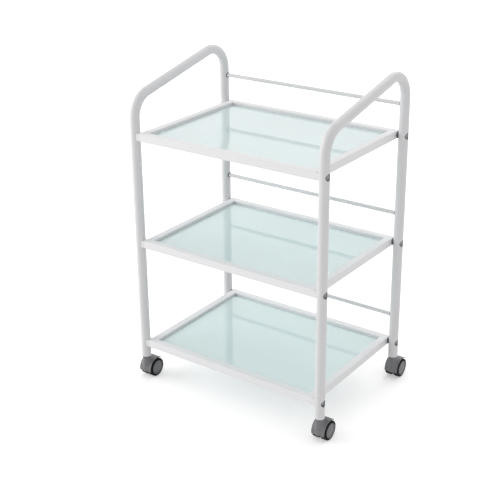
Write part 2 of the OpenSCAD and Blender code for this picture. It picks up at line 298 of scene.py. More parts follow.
@cache
def cap_plastic():
    """Grey plastic with painted shade that darkens it towards the rim of a cap, for the gap round the cap;
    its rim attribute gives where.
    """
    material = finish("cap plastic", colours().cap, roughness=0.38, depth=0.00004)
    tree = material.node_tree
    shader = tree.nodes["Principled BSDF"]
    # Painted shade: the rim attribute mixes in the gap's dark towards the cap's edge.
    rim = new_node(tree, "ShaderNodeAttribute", {"attribute_name": "rim"})
    dark = new_node(tree, "ShaderNodeMix", {"data_type": "RGBA"})
    dark.inputs["B"].default_value = (*colours().cap_rim_shade, 1)
    tree.links.new(rim.outputs["Fac"], dark.inputs["Factor"])
    tree.links.new(shader.inputs["Base Color"].links[0].from_socket, dark.inputs["A"])
    tree.links.new(dark.outputs["Result"], shader.inputs["Base Color"])
    return material


@cache
def block_plastic():
    return finish("block plastic", colours().block, roughness=0.45, mottle=0.02, grain=0.0006, spread=0.015)


# Painted shade: a dark plastic whose colour stands for the shade at the rear legs, on the spacers and the
# grommets.
@cache
def shade_dark_plastic():
    return finish("spacer plastic", colours().dark_shade, roughness=0.5, spread=0.1)


@cache
def socket_plastic():
    return finish("socket plastic", colours().socket, roughness=0.5, mottle=0.02, grain=0.0006)


@cache
def pad_rubber():
    return finish("pad rubber", colours().pad, roughness=0.55)


@cache
def zinc_plate():
    return finish("zinc plate", colours().zinc, roughness=0.34, mottle=0.006, grain=0.0004,
                  depth=0.00003, spread=0.1, Metallic=1.0)


@cache
def frosted_glass():
    """Aqua glass: a polished top face over a frosted back, with faint wipe marks."""
    material = finish("frosted glass", colours().glass, roughness=0.05, mottle=0.12, grain=0.03,
                      depth=0.000004, spread=0.015, Transmission_Weight=0.18, IOR=1.5,
                      Coat_Weight=1.0, Coat_Roughness=0.02)
    tree = material.node_tree
    shader = tree.nodes["Principled BSDF"]
    facing = tree.nodes.new("ShaderNodeTexCoord")
    height = tree.nodes.new("ShaderNodeSeparateXYZ")
    frost = new_node(tree, "ShaderNodeMapRange", From_Min=0.2, From_Max=0.8, To_Min=0.55, To_Max=0.03)
    tree.links.new(facing.outputs["Normal"], height.inputs["Vector"])
    tree.links.new(height.outputs["Z"], frost.inputs["Value"])
    tree.links.new(frost.outputs["Result"], shader.inputs["Roughness"])
    return material


# Shapes

SHARP = math.radians(35)


def arc(centre, radius, start, end, steps):
    """Points on an arc, both ends included; angles in radians."""
    turn = [start + (end - start) * i / steps for i in range(steps + 1)]
    return [(centre[0] + radius * math.cos(t), centre[1] + radius * math.sin(t)) for t in turn]


def softened(points, radius, steps=4):
    """A closed outline with each corner replaced by an arc of the radius."""
    out = []
    for i, point in enumerate(points):
        here = Vector(point)
        back = (Vector(points[i - 1]) - here).normalized()
        ahead = (Vector(points[(i + 1) % len(points)]) - here).normalized()
        half = back.angle(ahead) / 2
        centre = here + (back + ahead).normalized() * radius / math.sin(half)
        first = here + back * radius / math.tan(half) - centre
        last = here + ahead * radius / math.tan(half) - centre
        for k in range(steps + 1):
            spoke = first.lerp(last, k / steps)
            out.append(tuple(centre + spoke.normalized() * radius))
    return out


def mesh_of(name, points, faces, sharp=SHARP):
    """A smooth-shaded mesh with outward faces and sharp edges past an angle."""
    mesh = bpy.data.meshes.new(name)
    mesh.from_pydata([tuple(p) for p in points], [], faces)
    tidy_mesh(mesh)
    return sharpened(mesh, sharp)


def sharpened(mesh, angle=SHARP):
    """The mesh shaded smooth, with sharp edges past an angle."""
    mesh.shade_smooth()
    mesh.set_sharp_from_angle(angle=angle)
    return mesh


def tidy_mesh(mesh):
    """Merges doubles and turns the faces outwards."""
    shape = bmesh.new()
    shape.from_mesh(mesh)
    bmesh.ops.remove_doubles(shape, verts=shape.verts, dist=1e-7)
    bmesh.ops.recalc_face_normals(shape, faces=shape.faces)
    shape.to_mesh(mesh)
    shape.free()


def placed(name, data):
    """A new object in the scene."""
    thing = bpy.data.objects.new(name, data)
    bpy.context.scene.collection.objects.link(thing)
    return thing


def changed(mesh, kind, settings, inputs=()):
    """The plain mesh that one modifier makes from a mesh; inputs are a node tree's, by identifier."""
    carrier = placed("carrier", mesh)
    modifier = carrier.modifiers.new("Change", kind)
    for name, value in settings.items():
        setattr(modifier, name, value)
    for identifier, value in inputs:
        modifier[identifier] = value
    graph = bpy.context.evaluated_depsgraph_get()
    result = bpy.data.meshes.new_from_object(carrier.evaluated_get(graph))
    bpy.data.objects.remove(carrier)
    return result


def flat_kept(mesh):
    """The mesh with normals weighted by area, so that large flat faces stay flat beside rounded edges."""
    return changed(mesh, "WEIGHTED_NORMAL", {"weight": 100, "keep_sharp": True})


def ring_faces(count, start_a, start_b):
    """Quads between two rings of points."""
    steps = [(i, (i + 1) % count) for i in range(count)]
    return [(start_a + i, start_a + j, start_b + j, start_b + i) for i, j in steps]


def skin(starts, poles, count, closed):
    """Faces over a row of rings of points, some of which are single poles."""
    faces = []
    pairs = list(zip(range(len(starts)), range(1, len(starts))))
    if closed:
        pairs.append((len(starts) - 1, 0))
    for i, j in pairs:
        if poles[i] or poles[j]:
            pole, ring = (starts[i], starts[j]) if poles[i] else (starts[j], starts[i])
            faces += [(pole, ring + k, ring + (k + 1) % count) for k in range(count)]
        else:
            faces += ring_faces(count, starts[i], starts[j])
    return faces


def turned(name, outline, segments=96, closed=False, axis="X"):
    """A turned shape: an outline of (radius, distance along the axis) spun round an axis.

    An open outline starts and ends on the axis; a closed one makes a ring."""
    points, starts = [], []
    for radius, along in outline:
        starts.append(len(points))
        for i in range(segments if radius > 0 else 1):
            t = 2 * math.pi * i / segments
            a, b = radius * math.cos(t), radius * math.sin(t)
            points.append((along, a, b) if axis == "X" else (a, b, along))
    poles = [radius == 0 for radius, _ in outline]
    return mesh_of(name, points, skin(starts, poles, segments, closed))


def add_piece(name, mesh, material, body, node):
    """Puts a finished mesh in the scene on its body, in place of its CAD node."""
    mesh.materials.clear()
    mesh.materials.append(material)
    piece = placed(name, mesh)
    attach(piece, body)
    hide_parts(node)


# Geometry node trees

def geometry_tree(name, inputs):
    """A new tree with a geometry input and output, and named inputs."""
    tree = bpy.data.node_groups.new(name, "GeometryNodeTree")
    tree.interface.new_socket("Geometry", in_out="INPUT", socket_type="NodeSocketGeometry")
    for label, kind in inputs:
        tree.interface.new_socket(label, in_out="INPUT", socket_type=kind)
    tree.interface.new_socket("Geometry", in_out="OUTPUT", socket_type="NodeSocketGeometry")
    return tree, tree.nodes.new("NodeGroupInput")


def end_tree(tree, start, geometry):
    """Ends a tree in Realize Instances and Set Material."""
    real = tree.nodes.new("GeometryNodeRealizeInstances")
    coat = tree.nodes.new("GeometryNodeSetMaterial")
    end = tree.nodes.new("NodeGroupOutput")
    tree.links.new(geometry, real.inputs["Geometry"])
    tree.links.new(real.outputs["Geometry"], coat.inputs["Geometry"])
    tree.links.new(start.outputs["Material"], coat.inputs["Material"])
    tree.links.new(coat.outputs["Geometry"], end.inputs["Geometry"])


@cache
def swept_tube_tree():
    """Sweeps a round tube along a line of edges."""
    tree, start = geometry_tree("Swept Tube", (
        ("Radius", "NodeSocketFloat"), ("Sides", "NodeSocketInt"), ("Material", "NodeSocketMaterial")))
    path = tree.nodes.new("GeometryNodeMeshToCurve")
    ring = tree.nodes.new("GeometryNodeCurvePrimitiveCircle")
    sweep = tree.nodes.new("GeometryNodeCurveToMesh")
    sweep.inputs["Fill Caps"].default_value = True
    tree.links.new(start.outputs["Geometry"], path.inputs["Mesh"])
    tree.links.new(start.outputs["Radius"], ring.inputs["Radius"])
    tree.links.new(start.outputs["Sides"], ring.inputs["Resolution"])
    tree.links.new(path.outputs["Curve"], sweep.inputs["Curve"])
    tree.links.new(ring.outputs["Curve"], sweep.inputs["Profile Curve"])
    end_tree(tree, start, sweep.outputs["Mesh"])
    return tree


@cache
def bolt_set_tree():
    """Sets one fitting on each point, turned about Z by the point's turn."""
    tree, start = geometry_tree("Bolt Set", (
        ("Fitting", "NodeSocketObject"), ("Material", "NodeSocketMaterial")))
    source = tree.nodes.new("GeometryNodeObjectInfo")
    turn = new_node(tree, "GeometryNodeInputNamedAttribute", {"data_type": "FLOAT"}, Name="turn")
    angles = tree.nodes.new("ShaderNodeCombineXYZ")
    spin = tree.nodes.new("FunctionNodeEulerToRotation")
    copies = tree.nodes.new("GeometryNodeInstanceOnPoints")
    tree.links.new(start.outputs["Fitting"], source.inputs["Object"])
    tree.links.new(start.outputs["Geometry"], copies.inputs["Points"])
    tree.links.new(source.outputs["Geometry"], copies.inputs["Instance"])
    tree.links.new(turn.outputs["Attribute"], angles.inputs["Z"])
    tree.links.new(angles.outputs["Vector"], spin.inputs["Euler"])
    tree.links.new(spin.outputs["Rotation"], copies.inputs["Rotation"])
    end_tree(tree, start, copies.outputs["Instances"])
    return tree


def built(mesh, tree, **values):
    """The plain mesh that a tree makes from a mesh, with the tree's inputs set by identifier."""
    inputs = [(item.identifier, values[item.name]) for item in tree.interface.items_tree
              if item.item_type == "SOCKET" and item.in_out == "INPUT" and item.name in values]
    result = changed(mesh, "NODES", {"node_group": tree}, inputs)
    if not result.polygons:
        raise RuntimeError(f"{tree.name} made no faces")
    tidy_mesh(result)
    return sharpened(result)


def line_of(points):
    """A mesh of edges through the points."""
    mesh = bpy.data.meshes.new("line")
    mesh.from_pydata([tuple(p) for p in points], [(i, i + 1) for i in range(len(points) - 1)], [])
    return mesh


# Side frames

FOOT_LIP = 0.0003


def side_path():
    """Points (y, z) along the middle of a side frame, from its front foot to its rear foot."""
    size = sizes()
    reach = LEG_Y - size.bend_radius
    rear = (reach, HANDLE_TOP - TUBE_R - size.bend_radius)
    front = (-reach, rear[1] - 2 * reach * math.tan(size.handle_tilt))
    slope = math.pi / 2 + size.handle_tilt
    bend_steps, reach_z = 24, 2 * CAP_R
    beside_bolts = [middle(f"{level}_shelf_frame").z + s * reach_z for level in LEVELS for s in (-1, 1)]
    return ([(-LEG_Y, z) for z in [LEG_FOOT] + beside_bolts]
            + arc(front, size.bend_radius, math.pi, slope, bend_steps)
            + arc(rear, size.bend_radius, slope, 0, bend_steps)
            + [(LEG_Y, z) for z in beside_bolts[::-1] + [LEG_FOOT]])


def open_feet(mesh):
    """Opens a bore in each downward end of a tube, inside a rounded lip."""
    size = sizes()
    shape = bmesh.new()
    shape.from_mesh(mesh)
    ends = [face for face in shape.faces if len(face.verts) > 4 and face.normal.z < -0.99]
    if len(ends) != 2:
        raise RuntimeError("a side tube needs two open feet")
    for end in ends:
        bmesh.ops.inset_individual(shape, faces=[end], thickness=FOOT_LIP, depth=FOOT_LIP)
        bmesh.ops.inset_individual(shape, faces=[end], thickness=size.tube_wall - FOOT_LIP)
        bmesh.ops.inset_individual(shape, faces=[end], thickness=0, depth=-size.foot_depth)
    shape.to_mesh(mesh)
    shape.free()


def bolt_points(ends, node="shelf_frame"):
    """A point on the axis of each leg at the height of a level's node, with the turn that faces it outwards.

    ends holds -1 for the front legs and 1 for the rear legs."""
    points, turns = [], []
    for level in LEVELS:
        z = middle(f"{level}_{node}").z
        for side, turn in ((-1, math.pi), (1, 0.0)):
            for end in ends:
                points.append((side * LEG_X, end * LEG_Y, z))
                turns.append(turn)
    mesh = bpy.data.meshes.new("bolt points")
    mesh.from_pydata(points, [], [])
    mesh.attributes.new("turn", "FLOAT", "POINT").data.foreach_set("value", turns)
    return mesh


def fitting_set(shape, points, material):
    """One mesh with a fitting set on each point."""
    fitting = placed("fitting", shape)
    mesh = built(points, bolt_set_tree(), Fitting=fitting, Material=material)
    bpy.data.objects.remove(fitting)
    return mesh


def sink_cap_holes(tube):
    """Sinks the flat-bottomed holes for the bolt caps into the outer side of a tube."""
    size = sizes()
    floor, radius, out = CAP_FACE - size.cap_length, CAP_R + size.cap_gap / 2, 2 * TUBE_R
    drill = turned("drill", [(0, floor), (radius, floor), (radius, out), (0, out)])
    cutter = placed("cutter", fitting_set(drill, bolt_points((-1, 1)), shaded_tube_paint()))
    result = changed(tube, "BOOLEAN", {"object": cutter, "solver": "EXACT"})
    bpy.data.objects.remove(cutter)
    if len(result.polygons) <= len(tube.polygons):
        raise RuntimeError("the cap holes were not cut")
    return sharpened(result)


class TROLLEY_OT_side_tubes(Operator):
    """Sweep the two bent side tubes, with their open feet and the holes for the bolt caps"""

    bl_idname = "trolley.side_tubes"
    bl_label = "Side Tubes"

    def execute(self, context):
        for name, side in zip(SIDES, (-1, 1)):
            path = [(side * LEG_X, y, z) for y, z in side_path()]
            for end in (0, -1):
                path[end] = (*path[end][:2], LEG_FOOT + FOOT_LIP)
            tube = built(line_of(path), swept_tube_tree(), Radius=TUBE_R,
                         Sides=sizes().tube_sides, Material=shaded_tube_paint())
            open_feet(tube)
            add_piece(f"side_tube_{name}", sink_cap_holes(tube), shaded_tube_paint(), ROOT,
                      f"{name}_side_frame")
        return {"FINISHED"}


# Shelves

def rail_ring(name, low, high, rail):
    """A ring of square tube with rounded edges, mitred at its corners."""
    size = sizes()
    section = softened([(0, low.z), (rail, low.z), (rail, high.z), (0, high.z)], size.rail_edge)
    points, faces = [], []
    for inset, z in section:
        for sx, sy in ((-1, -1), (1, -1), (1, 1), (-1, 1)):
            points.append((sx * (high.x - inset), sy * (high.y - inset), z))
    for i in range(len(section)):
        faces += ring_faces(4, 4 * i, 4 * ((i + 1) % len(section)))
    mesh = mesh_of(name, points, faces)
    shape = bmesh.new()
    shape.from_mesh(mesh)
    steep = math.radians(60)
    mitres = [edge for edge in shape.edges if edge.calc_face_angle(0) > steep]
    bmesh.ops.bevel(shape, geom=mitres, offset=size.mitre_edge, segments=3, profile=0.5, affect="EDGES")
    bmesh.ops.recalc_face_normals(shape, faces=shape.faces)
    shape.to_mesh(mesh)
    shape.free()
    return flat_kept(sharpened(mesh))


class TROLLEY_OT_shelf_rails(Operator):
    """Make the three shelf frames of rounded square tube"""

    bl_idname = "trolley.shelf_rails"
    bl_label = "Shelf Rails"

    def execute(self, context):
        for level in LEVELS:
            node = f"{level}_shelf_frame"
            low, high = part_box(node)
            mesh = rail_ring(f"{level} rails", low, high, high.z - low.z)
            add_piece(f"shelf_rails_{level}", mesh, white_paint(), ROOT, node)
        return {"FINISHED"}


def pane_mesh(name, low, high):
    """A pane of glass with clipped corners and rounded edges, in a box."""
    clip, edge = sizes().glass_clip, sizes().glass_edge
    outline = []
    for sx, sy in ((-1, -1), (1, -1), (1, 1), (-1, 1)):
        pair = [(sx * (high.x - clip), sy * high.y), (sx * high.x, sy * (high.y - clip))]
        outline += pair if sx * sy < 0 else pair[::-1]
    rounds = [(edge, low.z)] + [(edge - edge * math.sin(t), low.z + edge - edge * math.cos(t))
                                for t in (math.pi / 4, math.pi / 2)]
    rounds += [(inset, low.z + high.z - z) for inset, z in reversed(rounds)]
    points, faces = [], []
    for inset, z in rounds:
        pull = Vector((high.x - inset, high.y - inset))
        points += [(x * pull.x / high.x, y * pull.y / high.y, z) for x, y in outline]
    count = len(outline)
    for i in range(len(rounds) - 1):
        faces += ring_faces(count, count * i, count * (i + 1))
    faces.append(tuple(range(count)))
    faces.append(tuple(range(count * (len(rounds) - 1), count * len(rounds))))
    return flat_kept(mesh_of(name, points, faces, sharp=math.radians(30)))


class TROLLEY_OT_glass_panes(Operator):
    """Lay a pane of frosted glass with clipped corners in each shelf"""

    bl_idname = "trolley.glass_panes"
    bl_label = "Glass Panes"

    def execute(self, context):
        for level in LEVELS:
            node = f"{level}_glass"
            mesh = pane_mesh(f"{level} pane", *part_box(node))
            add_piece(f"glass_pane_{level}", mesh, frosted_glass(), ROOT, node)
        return {"FINISHED"}


class TROLLEY_OT_back_rods(Operator):
    """Sweep the back rods between the rear legs"""

    bl_idname = "trolley.back_rods"
    bl_label = "Back Rods"

    def execute(self, context):
        facets = 32
        for level in LEVELS:
            low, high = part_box(f"{level}_back_rail")
            at = (low + high) / 2
            rod = built(line_of([(low.x, at.y, at.z), (high.x, at.y, at.z)]), swept_tube_tree(),
                        Radius=(high.z - low.z) / 2, Sides=facets, Material=shaded_tube_paint())
            add_piece(f"back_rod_{level}", rod, shaded_tube_paint(), ROOT, f"{level}_back_rail")
        return {"FINISHED"}


# Bolt fittings

def fitting_mesh(name, outline, rings, along, closed=False):
    """A fitting on a leg: rings of (share of the outline, lift), from one middle to the other, or closed.

    along(lift, y) gives a point's place along X."""
    points, starts = [], []
    for share, lift in rings:
        starts.append(len(points))
        for y, z in outline if share > 0 else [(0, 0)]:
            points.append((along(lift, share * y), share * y, share * z))
    poles = [share == 0 for share, _ in rings]
    return mesh_of(name, points, skin(starts, poles, len(outline), closed))


def circle(radius, steps=48):
    return arc((0, 0), radius, 0, 2 * math.pi, steps)[:-1]


def cap_mesh():
    """A flat cap with a raised rim round a dish; its rim attribute is 1 where the plastic is darkened by
    painted shade for the gap round the cap.
    """
    size = sizes()
    face, back, radius = CAP_FACE, CAP_FACE - size.cap_length + 0.0001, CAP_R - size.cap_gap / 2
    dish, edge, facets = face - 0.0003, 0.0004, 64
    inner, start, foot, crest, full = [share * radius for share in (0.3, 0.55, 0.62, 0.68, 0.72)]
    mesh = turned("cap", [
        (0, dish), (inner, dish), (start, dish), (foot, dish), (crest, face), (radius - edge, face),
        (radius - edge * 0.3, face - edge * 0.3), (radius, face - edge), (radius, back), (0, back)], facets)
    reach = [math.hypot(v.co.y, v.co.z) for v in mesh.vertices]
    # Painted shade: the rim share rises from 0 near the dish's edge to 1 towards the cap's edge, where the
    # dark of the gap round the cap is painted.
    rim = [min(1.0, max(0.0, (r - start) / (full - start))) for r in reach]
    mesh.attributes.new("rim", "FLOAT", "POINT").data.foreach_set("value", rim)
    return mesh


def grommet_mesh():
    """A ring on the inner side of a leg, round the end of a back rail."""
    low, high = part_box("top_back_rail")
    hole = (high.z - low.z) / 2 / GROMMET_R
    rise, sunk = 0.0008, -0.0005
    rings = [(hole, sunk), (hole, rise * 0.7), (hole + 0.05, rise), (0.88, rise), (0.97, rise * 0.75),
             (1, rise * 0.25), (1, sunk)]
    return fitting_mesh("grommet", circle(GROMMET_R), rings,
                        lambda lift, y: -math.sqrt((TUBE_R + lift) ** 2 - y * y), closed=True)


def saddle_mesh(outline):
    """A saddle, flat against the shelf and hollowed to the round of the leg; lift runs from leg to shelf."""
    back = -(LEG_X - SHELF_X)
    rings = [(0, 0), (0.5, 0), (0.95, 0), (1, 0.1), (1, 0.9), (0.95, 1), (0.5, 1), (0, 1)]
    return fitting_mesh("saddle", outline, rings, lambda lift, y: back * lift
                        - (1 - lift) * math.sqrt(TUBE_R ** 2 - y * y))


def block_outline():
    """The softened square of a saddle block, with points along its sides to follow the leg."""
    h, soft, steps = BLOCK_HALF, 0.0012, 8
    corners = softened([(-h, -h), (h, -h), (h, h), (-h, h)], soft)
    out = []
    for here, ahead in zip(corners, corners[1:] + corners[:1]):
        many = steps if math.dist(here, ahead) > h else 1
        out += [tuple(Vector(here).lerp(Vector(ahead), i / many)) for i in range(many)]
    return out


class TROLLEY_OT_bolt_fittings(Operator):
    """Set the bolt caps, the white saddles, and the dark saddles and rail grommets, whose dark colour is
    painted shade, on the legs
    """

    bl_idname = "trolley.bolt_fittings"
    bl_label = "Bolt Fittings"

    def execute(self, context):
        front, rear = (-1,), (1,)
        for name, shape, points, material, slot, node in (
                ("cap_set", cap_mesh(), bolt_points(front + rear), cap_plastic(),
                 "cap_plastic", "bolt_caps"),
                ("front_blocks", saddle_mesh(block_outline()), bolt_points(front), block_plastic(),
                 "white_plastic", "front_saddle_blocks"),
                # Painted shade: the rear spacers and the grommets are coloured dark for the shade round
                # them.
                ("rear_spacers", saddle_mesh(circle(SPACER_R)), bolt_points(rear), shade_dark_plastic(),
                 "dark_plastic", "rear_saddle_spacers"),
                ("grommets", grommet_mesh(), bolt_points(rear, "back_rail"), shade_dark_plastic(),
                 "dark_plastic", "rail_grommets")):
            add_piece(name, fitting_set(shape, points, material), material, ROOT, node)
        return {"FINISHED"}


# Casters

def caster_place(corner):
    """Moves a shape from a caster's own axes, where it trails to +Y, to its corner and the way it points."""
    stem, axle = middle(f"{corner}_stem"), middle(f"{corner}_axle")
    turn = math.atan2(stem.x - axle.x, axle.y - stem.y)
    return Matrix.Translation((stem.x, stem.y, 0)) @ Matrix.Rotation(turn, 4, "Z")


def soft_min(a, b, blend):
    """The nearer of two distances, blended into a fillet."""
    share = np.clip(0.5 + 0.5 * (b - a) / blend, 0, 1)
    return b + (a - b) * share - blend * share * (1 - share)


def soft_max(a, b, blend):
    return -soft_min(-a, -b, blend)


def soft_box(a, b, half_a, half_b, edge):
    """Distance to a rectangle with rounded corners."""
    u = np.abs(a) - half_a + edge
    v = np.abs(b) - half_b + edge
    return np.hypot(np.maximum(u, 0), np.maximum(v, 0)) + np.minimum(np.maximum(u, v), 0) - edge


class HoodShape:
    """A hood as a distance to its surface, below 0 inside the plastic, from its stem's axis at the floor."""

    def __init__(self):
        size = sizes()
        self.size = size
        margin = Vector((3 * size.mould_step,) * 3)
        self.low = Vector((-HOOD_HALF, -HOOD_HALF, size.hood_front)) - margin
        self.high = Vector((HOOD_HALF, TRAIL + size.hood_radius, NECK_TOP)) + margin

    def distance(self, p):
        """Distances at points; the cover ends squarely at a plane that leans back from the axle."""
        size = self.size
        x, y, z = np.abs(p[..., 0]), p[..., 1], p[..., 2]
        edge = size.hood_edge
        round_axle = np.hypot(y - TRAIL, z - AXLE_Z)
        well = size.hood_radius - size.hood_wall
        half = HOOD_HALF - size.hood_inset
        cover = soft_box(round_axle - (size.hood_radius + well) / 2, x, size.hood_wall / 2, half, edge)
        lean = math.acos((size.hood_rear - AXLE_Z) / size.hood_radius)
        behind = (y - TRAIL) * math.cos(lean) - (z - AXLE_Z) * math.sin(lean)
        cover = soft_max(cover, behind, edge)
        trim = np.maximum(size.hood_front - z, np.minimum(size.web_rear - z, y - TRAIL))
        web = np.maximum(x - size.web / 2, round_axle - size.hood_radius + size.hood_wall / 2)
        neck = soft_max(np.hypot(x, y) - size.neck_radius, z - NECK_TOP, 2 * edge)
        body = soft_min(np.minimum(cover, web), neck, size.neck_blend)
        body = np.maximum(body, np.minimum(well - round_axle, x - size.web / 2))
        body = soft_max(body, trim, edge)
        boss = soft_max(round_axle - size.boss_radius, x - size.web / 2, edge)
        return np.minimum(body, boss)


def surface_net(shape, step):
    """Points and faces of a closed net near the surface of a shape that is given as a distance.

    Each grid cell that the surface crosses gets one point, and each grid edge that it crosses joins the four
    cells round it with a face."""
    axes = [np.arange(a, b + step, step) for a, b in zip(shape.low, shape.high)]
    grid = np.stack(np.meshgrid(*axes, indexing="ij"), -1)
    value = shape.distance(grid)
    inside = value < 0
    corners = [(i, j, k) for i in (0, 1) for j in (0, 1) for k in (0, 1)]

    def at(field, c):
        return field[tuple(slice(o, n - 1 + o) for o, n in zip(c, field.shape[:3]))]
    filled = sum(at(inside, c).astype(int) for c in corners)
    cells = (filled > 0) & (filled < len(corners))
    index = np.full(cells.shape, -1)
    index[cells] = np.arange(cells.sum())
    total = np.zeros((*cells.shape, 3))
    count = np.zeros(cells.shape)
    for a in corners:
        for axis in range(3):
            if a[axis]:
                continue
            b = tuple(o + (n == axis) for n, o in enumerate(a))
            crossed = at(inside, a) != at(inside, b)
            va, vb = at(value, a), at(value, b)
            share = np.where(crossed, va / np.where(crossed, va - vb, 1), 0)[..., None]
            total += np.where(crossed[..., None], at(grid, a) * (1 - share) + at(grid, b) * share, 0)
            count += crossed
    points = total[cells] / count[cells][:, None]
    faces = []
    for axis in range(3):
        solid = np.moveaxis(inside, axis, 0)
        cell = np.moveaxis(index, axis, 0)
        change = solid[:-1, 1:-1, 1:-1] != solid[1:, 1:-1, 1:-1]
        i, j, k = np.nonzero(change)
        quad = np.stack([cell[i, j, k], cell[i, j + 1, k], cell[i, j + 1, k + 1], cell[i, j, k + 1]], 1)
        outward = solid[i, j + 1, k + 1] != (axis == 1)
        quad[~outward] = quad[~outward][:, ::-1]
        faces.append(quad)
    return points, np.concatenate(faces)


def moulded(name, shape, step):
    """A closed mesh of a shape's net, with its points pulled on to the surface."""
    points, faces = surface_net(shape, step)

    def slope(p):
        nudge = step / 20
        return np.stack([(shape.distance(p + nudge * d) - shape.distance(p - nudge * d)) / (2 * nudge)
                         for d in np.eye(3)], -1)
    pulls = 4
    for _ in range(pulls):
        normal = slope(points)
        pull = shape.distance(points) / np.maximum((normal ** 2).sum(-1), 0.25)
        points -= np.clip(pull, -step / 2, step / 2)[:, None] * normal
    mesh = bpy.data.meshes.new(name)
    mesh.from_pydata(points.tolist(), [], faces.tolist())
    mesh.shade_smooth()
    normal = slope(points)
    normal /= np.maximum(np.linalg.norm(normal, axis=1, keepdims=True), 1e-9)
    mesh.normals_split_custom_set_from_vertices(normal.tolist())
    return mesh


class TROLLEY_OT_caster_hoods(Operator):
    """Mould the four caster hoods, each with its web and neck"""

    bl_idname = "trolley.caster_hoods"
    bl_label = "Caster Hoods"

    def execute(self, context):
        first = moulded("hood", HoodShape(), sizes().mould_step)
        for corner in CORNERS:
            mesh = first.copy()
            mesh.transform(caster_place(corner))
            add_piece(f"hood_{corner}", mesh, caster_plastic(), f"{corner}_caster",
                      f"{corner}_hood")
        return {"FINISHED"}


class TROLLEY_OT_caster_stems(Operator):
    """Turn the four caster stems, each with its collar"""

    bl_idname = "trolley.caster_stems"
    bl_label = "Caster Stems"

    def execute(self, context):
        shaft, rise, edge = 0.0055, 0.0015, 0.0003
        low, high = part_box(f"{PATTERN}_stem")
        collar, seat = (high.x - low.x) / 2, NECK_TOP
        outline = [(0, low.z), (shaft - edge, low.z), (shaft, low.z + edge), (shaft, seat),
                   (collar - edge, seat), (collar, seat + edge), (collar, seat + rise - edge),
                   (collar - edge, seat + rise), (shaft, seat + rise), (shaft, high.z - 3 * edge),
                   (shaft - 3 * edge, high.z), (0, high.z)]
        for corner in CORNERS:
            mesh = turned(f"{corner} stem", outline, segments=48, axis="Z")
            mesh.transform(caster_place(corner))
            add_piece(f"stem_{corner}", mesh, zinc_plate(), f"{corner}_caster",
                      f"{corner}_stem")
        return {"FINISHED"}


def wheel_outline():
    """A wheel with a dished disc inside a thin lip, from its outer face in to its open inner side.

    Each point is a radius and a distance from the web's middle."""
    boss, bore, edge = 0.0070, 0.00305, 0.0003
    far, near, rim = WHEEL_FAR, WHEEL_NEAR, WHEEL_R - sizes().tread_lap
    face, step = far - 0.0003, far - 0.0040
    trough, crown = far - 0.0022, far - 0.0003
    foot, hollow = rim - 0.0028, WHEEL_R - 0.0015
    lip_foot, lip_top = rim - 0.0014, rim - 0.0011
    bore_end, disc_back = far - 0.005, far - 0.0045
    dome = [(foot * math.sin(t), trough + (crown - trough) * math.cos(t) ** 2)
            for t in [math.pi / 2 * i / 12 for i in range(13)]]
    lip = [(lip_foot, face - edge), (lip_top, face), (rim - edge, face), (rim, face - edge)]
    inner = [(boss, near + edge), (boss - edge, near), (bore, near), (bore, bore_end), (0, bore_end)]
    back = [(hollow, near), (hollow, far - 0.007), (hollow - 0.003, disc_back), (boss, disc_back)]
    return (dome + lip + [(rim, step), (WHEEL_R, step), (WHEEL_R, near + edge), (WHEEL_R - edge, near)]
            + back + inner)


def tread_outline():
    """A tread that laps over the rim of its wheel's disc, with a rounded shoulder."""
    near, low, top, edge = WHEEL_NEAR, WHEEL_FAR - 0.0012, WHEEL_FAR - 0.0026, 0.0012
    lap, seat = WHEEL_R - sizes().tread_lap + 0.0001, WHEEL_FAR - 0.0039
    shoulder = [(WHEEL_R + (TREAD_R - WHEEL_R) * math.sin(t), top + (low - top) * math.cos(t))
                for t in [math.pi / 2 * i / 8 for i in range(9)]]
    return ([(WHEEL_R, near), (TREAD_R - edge, near), (TREAD_R, near + edge)] + shoulder[::-1]
            + [(lap, low), (lap, seat), (WHEEL_R, seat)])


class TROLLEY_OT_caster_wheels(Operator):
    """Turn the eight caster wheels and their soft treads"""

    bl_idname = "trolley.caster_wheels"
    bl_label = "Caster Wheels"

    def execute(self, context):
        for corner in CORNERS:
            out = 1 if corner.endswith("right") else -1
            for wheel, side in zip(WHEELS, (out, -out)):
                place = (caster_place(corner) @ Matrix.Translation((0, TRAIL, AXLE_Z))
                         @ Matrix.Diagonal((side, 1, 1, 1)))
                tag = f"{corner}_{wheel}"
                for name, mesh, material, slot, node in (
                        (f"wheel_{tag}", turned("wheel", wheel_outline()), caster_plastic(),
                         "caster_plastic", f"{tag}_wheel"),
                        (f"tread_{tag}", turned("tread", tread_outline(), closed=True), tread_rubber(),
                         "caster_tread", f"{tag}_tread")):
                    mesh.transform(place)
                    tidy_mesh(mesh)
                    add_piece(name, mesh, material, f"{tag}_roller", node)
        return {"FINISHED"}


class TROLLEY_OT_inner_fittings(Operator):
    """Give the fittings that stay as they are their finishes"""

    bl_idname = "trolley.inner_fittings"
    bl_label = "Inner Fittings"

    def execute(self, context):
        coats = {"glass_pads": pad_rubber(), "shelf_bolts": zinc_plate(), "rivet_nuts": zinc_plate()}
        for level in LEVELS:
            coats[f"{level}_corner_plates"] = white_paint()
        for corner in CORNERS:
            coats[f"{corner}_socket"] = socket_plastic()
            coats[f"{corner}_axle"] = zinc_plate()
        for name, material in coats.items():
            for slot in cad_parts[name].material_slots:
                slot.material = material
        return {"FINISHED"}


# Stage

CAMERA_PLACE = Vector((1.3893, -2.0315, 1.4319))
CAMERA_AZIMUTH = math.radians(35.50)
CAMERA_ELEVATION = math.radians(21.95)
CAMERA_ROLL = math.radians(-0.49)
CAMERA_LENS = 75.41
CAMERA_SHIFT = -0.05


